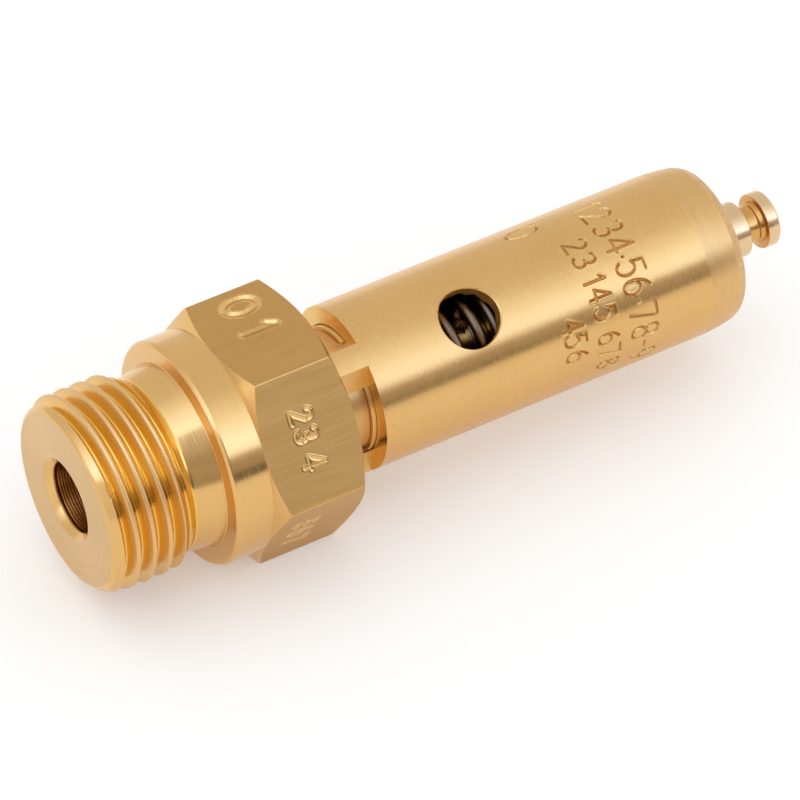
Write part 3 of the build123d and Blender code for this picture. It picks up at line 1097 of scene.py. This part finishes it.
def stampBarrel(bm, s):
    marks = []
    for digits, middles, foot, height, width in s["rows"]:
        for digit, middle in zip(digits, middles):
            share = s["dotWidth"] if digit in "-." else 1
            marks.append((digit, middle, foot, height, width * share))
    placed = placeDigits(marks)
    low, high = s["stampBand"]
    start, end = s["stampArc"]

    def onBand(co):
        onOutside = radiusOf(co) > (s["radius"] - 0.02) * mm
        return onOutside and low * mm < co.x < high * mm and start < angleOf(co) < end

    def distanceAt(co):
        return strokeDistance(placed, math.radians(angleOf(co)) * s["radius"], co.x / mm, s["stampReach"])

    bandEdges = [
        edge for edge in bm.edges
        if abs(edge.calc_length() - (high - low) * mm) < 0.01 * mm
        and all(abs(radiusOf(vert.co) - s["radius"] * mm) < 0.01 * mm for vert in edge.verts)
        and all(start < angleOf(vert.co) < end for vert in edge.verts)
    ]
    bmesh.ops.subdivide_edges(bm, edges=bandEdges, cuts=round((high - low) / s["cell"]), use_grid_fill=True)
    near = []
    for face in bm.faces:
        middle = face.calc_center_median()
        if onBand(middle) and distanceAt(middle) < s["stampNear"]:
            near.append(face)
    edges = dict.fromkeys(edge for face in near for edge in face.edges)
    bmesh.ops.subdivide_edges(bm, edges=list(edges), cuts=1, use_grid_fill=True)
    for vert in bm.verts:
        if onBand(vert.co):
            lift = stampLift(distanceAt(vert.co), s)
            radius = radiusOf(vert.co)
            vert.co.y *= (s["radius"] + lift) * mm / radius
            vert.co.z *= (s["radius"] + lift) * mm / radius


def housingBody(s):
    bm = bmesh.new()
    start, window, outer, bore = s["startX"], s["windowStartX"], s["radius"], s["boreR"]
    profile = [
        (start, s["shankR"]), (window, s["shankR"]), (window, outer, s["edgeSoft"]),
        *((x, outer) for x in s["stampBand"]), *s["farEnd"],
    ]
    pitch, deep = s["threadPitch"], bore + s["threadDepth"]
    x = s["threadEndX"]
    while x > s["threadStartX"]:
        profile += [(x, bore), (x - pitch * 0.42, deep), (x - pitch * 0.58, deep)]
        x -= pitch
    profile += [(x, bore), (start, bore)]
    bm.edges.new(drawProfile(bm, profile))
    spinRound(bm, s["steps"])
    bmesh.ops.recalc_face_normals(bm, faces=bm.faces)
    done = cutAway(bm, [windowCutter(s, angle) for angle in s["windowAngles"]] + [holeCutter(s)])
    stampBarrel(done, s)
    return done


def housingFinish(face):
    s = housingSettings
    middle = face.calc_center_median() / mm
    radius = radiusOf(middle)
    facing = face.normal.dot(Vector((0, middle.y, middle.z)).normalized())
    low, high = s["stampBand"]
    if low < middle.x < high and s["shankR"] + 0.04 < radius < s["radius"] - 0.05:
        return struckBrass
    if radius > s["boreR"] + 0.64 and facing > 0.5 and middle.x > s["windowStartX"] - 0.1:
        if middle.x > s["chatterX"]:
            return chatterBrass
        return taperBrass if middle.x > s["taperX"] else barrelBrass
    # Window faces take the brighter milled brass, partly painted light
    if middle.x < s["windowStartX"] + s["windowWidth"] + 0.1 and radius > s["windowFlat"] - 0.1:
        return milledLitBrass
    # The hole's wall takes the brighter brass, painted light
    inHole = abs(middle.x - s["holeX"]) < s["holeR"] + 0.35 and radius > s["boreR"] + 0.59
    return drilledLitBrass if inHole else innerBrass


finishPiece(
    "spring_barrel", housingBody(housingSettings),
    [barrelBrass, innerBrass, milledLitBrass, struckBrass, taperBrass, chatterBrass, drilledLitBrass],
    "valve", "spring_housing", pick=housingFinish,
)


springSettings = {
    "wireR": 0.62,
    "meanR": 5.55,
    "startX": 33.0,
    "endX": 49.4,
    "startLift": 0.35,  # from the lower end to the wire's first middle
    "startAngle": 68,
    "liftOfDisc": 1.5,
    "stages": [  # (turns, rise of each turn)
        (0.9, 1.15), (0.3, 2.2), (3.65, 2.88), (0.5, 2.5), (0.5, 1.7), (1.15, 1.2),
    ],
    "stepsPerTurn": 72,
}


def springBody(s):
    bm = bmesh.new()
    bmesh.ops.create_circle(bm, segments=20, radius=s["wireR"] * mm)
    for side in ("Y", "Z"):
        bmesh.ops.rotate(bm, cent=origin, matrix=Matrix.Rotation(math.pi / 2, 3, side), verts=bm.verts)
    bmesh.ops.translate(bm, vec=((s["startX"] + s["startLift"]) * mm, 0, s["meanR"] * mm), verts=bm.verts)
    bmesh.ops.rotate(bm, cent=origin, matrix=axisTurn(s["startAngle"]), verts=bm.verts)
    last = bm.verts[:] + bm.edges[:]
    for turns, rise in s["stages"]:
        steps = max(1, round(turns * s["stepsPerTurn"]))
        made = bmesh.ops.spin(
            bm, geom=last, cent=origin, axis=axis, dvec=(rise * turns * mm / steps, 0, 0),
            angle=fullTurn * turns, steps=steps,
        )
        last = made["geom_last"]
    bmesh.ops.holes_fill(bm, edges=[edge for edge in bm.edges if edge.is_boundary])
    bmesh.ops.recalc_face_normals(bm, faces=bm.faces)
    for x, side in ((s["startX"], -1), (s["endX"], 1)):
        cutAt(bm, x, side=side)
        bmesh.ops.holes_fill(bm, edges=[edge for edge in bm.edges if edge.is_boundary])
    return bm


spring = finishPiece(
    "valve_spring", springBody(springSettings), [springSteel], "valve", "compression_spring",
)
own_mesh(spring)


turnedPiece("lift_disc_turned", [
    (28.0, 5.25), (26.9, 5.25, 0.1), (26.9, 6.45, 0.18), (31.4, 6.45, 0.04), (31.4, 3.9, 0.2),
    (38.2, 3.9, 0.2), (38.2, 2.06, 0.15), (32.6, 2.06), (32.6, 0.0),
], [discBrass], "lift", "lift_disc", openX=28.0)

turnedPiece("lower_plate_turned", [
    (31.42, 3.95, 0.1), (31.42, 6.86, 0.09), (32.98, 6.86, 0.15), (32.98, 3.95, 0.1),
], [plateBrass], "lift", "lower_spring_plate", closed=True)


def knobFinish(face):
    middle = face.calc_center_median() / mm
    # The groove under the head takes the painted shade
    inGroove = 79.4 < middle.x < 81.65 and radiusOf(middle) < 2.9
    return grooveShadeBrass if inGroove else knobBrass


turnedPiece("pull_knob_turned", [
    (71.4, 1.5), (71.4, 2.98, 0.2), (79.5, 2.98, 0.12), (79.5, 2.0, 0.06), (81.0, 2.0, 0.05),
    (81.1, 2.22, 0.05), (81.6, 2.27, 0.05), (81.6, 2.98, 0.06), (82.86, 2.98, 0.03), (83.1, 2.74, 0.03),
    (83.1, 0.0), (78.5, 0.0), (78.5, 1.5), (71.4, 1.5),
], [knobBrass, grooveShadeBrass], "spindle", "pull_knob", pick=knobFinish)

turnedPiece("end_cap_turned", [
    (72.4, 3.05), (72.4, 7.28), (74.6, 7.28, 0.1), (74.6, 3.05, 0.15), (72.4, 3.05),
], [facedBrass], "valve", "end_cap")

turnedPiece("spindle_turned", [
    (35.02, 0.0), (35.02, 2.0, 0.2), (36.2, 2.0), (36.2, 1.4), (37.4, 1.4), (37.4, 2.0), (45.8, 2.0),
    (45.8, 1.6), (46.6, 1.6), (46.6, 2.0), (71.4, 2.0), (71.4, 1.5), (78.3, 1.5), (78.3, 0.0),
], [innerBrass], "spindle", "spindle")

nodeFinish = {  # the parts that stay as the frame brings them
    "seat_seal": sealRubber, "seal_washer": stainless, "seal_screw": stainless, "thrust_ball": stainless,
    "cross_pins": stainless, "upper_spring_plate": innerBrass, "adjusting_screw": innerBrass,
    "guide_bush": bushPlastic, "lock_ring": innerBrass, "spindle_ring": stainless,
}
for name, material in nodeFinish.items():
    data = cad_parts[name].data
    data.materials.clear()
    data.materials.append(material)
print("pieces ready")
